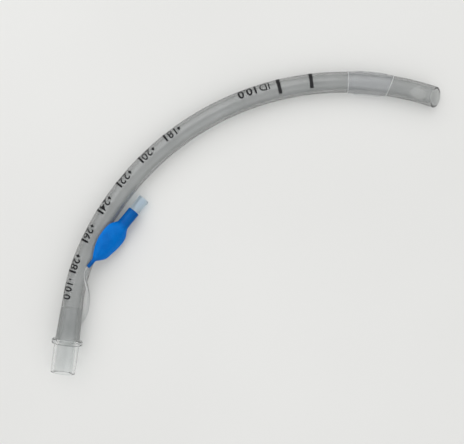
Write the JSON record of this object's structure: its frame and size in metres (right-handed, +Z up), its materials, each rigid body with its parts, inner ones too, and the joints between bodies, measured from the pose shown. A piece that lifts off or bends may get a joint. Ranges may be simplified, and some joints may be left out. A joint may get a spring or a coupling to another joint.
{
  "type": "endotracheal tube",
  "caption": "Long curved clear breathing tube with a bevelled tip and side eye, an inflatable cuff, a tapered connector, and a thin line to a blue pilot balloon with a spring valve.",
  "frame": {"origin": "centre of the lying tube's outline on the surface that it rests on", "axes": "+Z up, away from the surface; +X from the machine end's side towards the tip; the machine end's axis lies along -Y, 1.6 degrees up"},
  "size_m": [0.2204, 0.2124, 0.019],
  "materials": {
    "clear_pvc": "clear, slightly smoky, satin sheen",
    "cuff_film": "thin clear film, glossy, creased",
    "connector_plastic": "translucent natural, moulded gloss",
    "line_pvc": "clear, glossy",
    "blue_pvc": "translucent bright blue, glossy",
    "valve_plastic": "frosted translucent",
    "plunger_plastic": "white, moulded",
    "seal_rubber": "matt",
    "spring_steel": "drawn wire",
    "ink": "thin black print"
  },
  "bodies": {
    "tube": {"tube_shaft": "clear_pvc", "cuff": "cuff_film", "connector": "connector_plastic", "inflation_line": "line_pvc", "pilot_balloon": "blue_pvc", "valve_housing": "valve_plastic", "valve_retainer": "valve_plastic", "valve_spring": "spring_steel"},
    "plunger": {"valve_plunger": "plunger_plastic", "valve_seal": "seal_rubber"}
  },
  "joints": [
    {"name": "valve_push", "type": "slide", "parent": "tube", "child": "plunger", "axis": [-0.499, -0.8438, 0.1977], "range_m": [0, 0.0012], "stiffness_N_per_m": 100, "springref_m": -0.002, "deforming": ["valve_spring"]}
  ]
}
